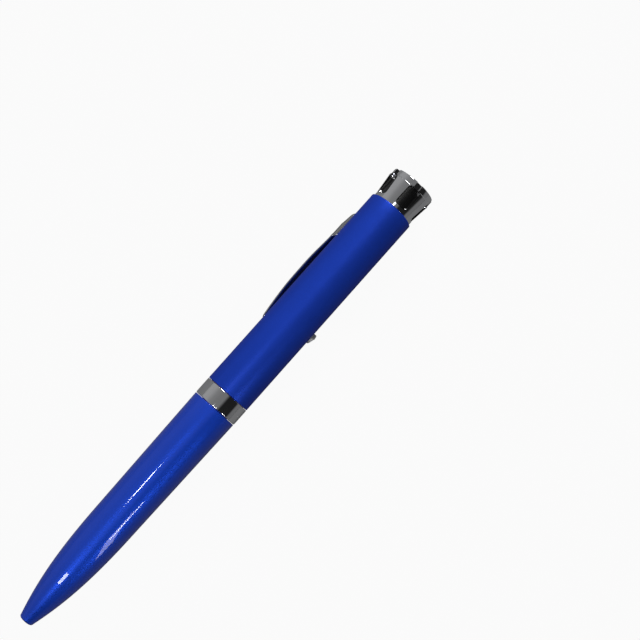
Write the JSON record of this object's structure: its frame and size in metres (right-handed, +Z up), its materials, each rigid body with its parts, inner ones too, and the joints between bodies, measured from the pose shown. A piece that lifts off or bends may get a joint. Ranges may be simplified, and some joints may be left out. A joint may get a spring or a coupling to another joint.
{
  "type": "light-up ballpoint pen",
  "caption": "Twist-action ballpoint pen with bowed pocket clip, push button and a fluted focusing head whose lamp projects a small picture slide.",
  "frame": {"origin": "middle of the pen's footprint, on the surface that it lies on", "axes": "+X along the pen from the writing tip to the lamp head, +Z up from the surface, +Y to the side that the clip leans to"},
  "size_m": [0.1388, 0.0146, 0.0124],
  "materials": {
    "gloss_blue_lacquer": "gloss",
    "satin_blue_lacquer": "satin",
    "chrome": "mirror",
    "clip_steel": "plated",
    "button_metal": "plated",
    "plated_steel": "bright",
    "spring_steel": "bright",
    "cell_steel": "bright",
    "nickel_silver": "turned",
    "brass": "turned",
    "carbide": "polished",
    "black_plastic": "moulded",
    "white_plastic": "moulded",
    "circuit_board": "solder mask",
    "lamp_epoxy": "clear",
    "clear_lens": "clear",
    "slide_film": "film",
    "rubber": "matte"
  },
  "bodies": {
    "pen_body": {"upper_barrel": "satin_blue_lacquer", "centre_ring": "chrome", "mechanism_housing": "brass", "snap_ring": "spring_steel", "board_carrier": "black_plastic", "switch_board": "circuit_board", "switch_housing": "black_plastic", "chip_resistor": "black_plastic", "front_contact": "plated_steel", "contact_spring": "spring_steel", "battery_tube": "black_plastic", "button_cell_1": "cell_steel", "button_cell_2": "cell_steel", "button_cell_3": "cell_steel", "rear_contact": "brass", "lamp_holder": "black_plastic", "lamp": "lamp_epoxy", "condenser_lens": "clear_lens", "slide_holder": "black_plastic", "picture_slide": "slide_film", "slide_retainer": "black_plastic", "focus_guide": "black_plastic", "clip_foot": "clip_steel", "clip_rivet": "plated_steel"},
    "twist_sleeve": {"twist_collar": "brass", "cam_sleeve": "brass"},
    "nose_barrel": {"lower_barrel": "gloss_blue_lacquer"},
    "refill": {"refill_ball": "carbide", "refill_tip": "nickel_silver", "refill_tube": "plated_steel", "refill_plug": "white_plastic", "refill_spring": "spring_steel", "plunger": "white_plastic", "plunger_pin": "plated_steel"},
    "button": {"button_cap": "button_metal", "switch_plunger": "white_plastic"},
    "lamp_head": {"focus_head": "chrome", "friction_ring": "rubber"},
    "lens": {"lens_cell": "black_plastic", "projection_lens": "clear_lens", "lens_retainer": "black_plastic"},
    "clip": {"clip_arm": "clip_steel"}
  },
  "joints": [
    {"name": "barrel_twist", "type": "hinge", "parent": "pen_body", "child": "twist_sleeve", "pos_m": [-0.0034, -0.00031, 0.00623], "axis": [1, 0, 0], "range_deg": [0, 180]},
    {"name": "barrel_pull", "type": "slide", "parent": "twist_sleeve", "child": "nose_barrel", "axis": [-1, 0, 0], "range_m": [0, 0.075]},
    {"name": "refill_slide", "type": "slide", "parent": "pen_body", "child": "refill", "axis": [-1, 0, 0], "range_m": [0, 0.006], "deforming": ["refill_spring"]},
    {"name": "light_button", "type": "slide", "parent": "pen_body", "child": "button", "axis": [0, 0.9744, 0.225], "range_m": [0, 0.0005], "stiffness_N_per_m": 1500, "springref_m": -0.0002},
    {"name": "focus_twist", "type": "hinge", "parent": "pen_body", "child": "lamp_head", "pos_m": [0.0611, -0.00031, 0.00623], "axis": [1, 0, 0], "range_deg": [0, 150]},
    {"name": "lens_slide", "type": "slide", "parent": "lamp_head", "child": "lens", "axis": [1, 0, 0], "range_m": [0, 0.0012]},
    {"name": "clip_flex", "type": "hinge", "parent": "pen_body", "child": "clip", "pos_m": [0.0477, 0.00556, 0.00212], "axis": [0, -0.5736, -0.8192], "range_deg": [0, 6], "stiffness_Nm_per_rad": 0.8, "springref_deg": -1.15}
  ],
  "couplings": [
    {"joint": "refill_slide", "follows": "barrel_twist", "m_per_rad": 0.0019099},
    {"joint": "lens_slide", "follows": "focus_twist", "m_per_rad": 0.00045836}
  ]
}
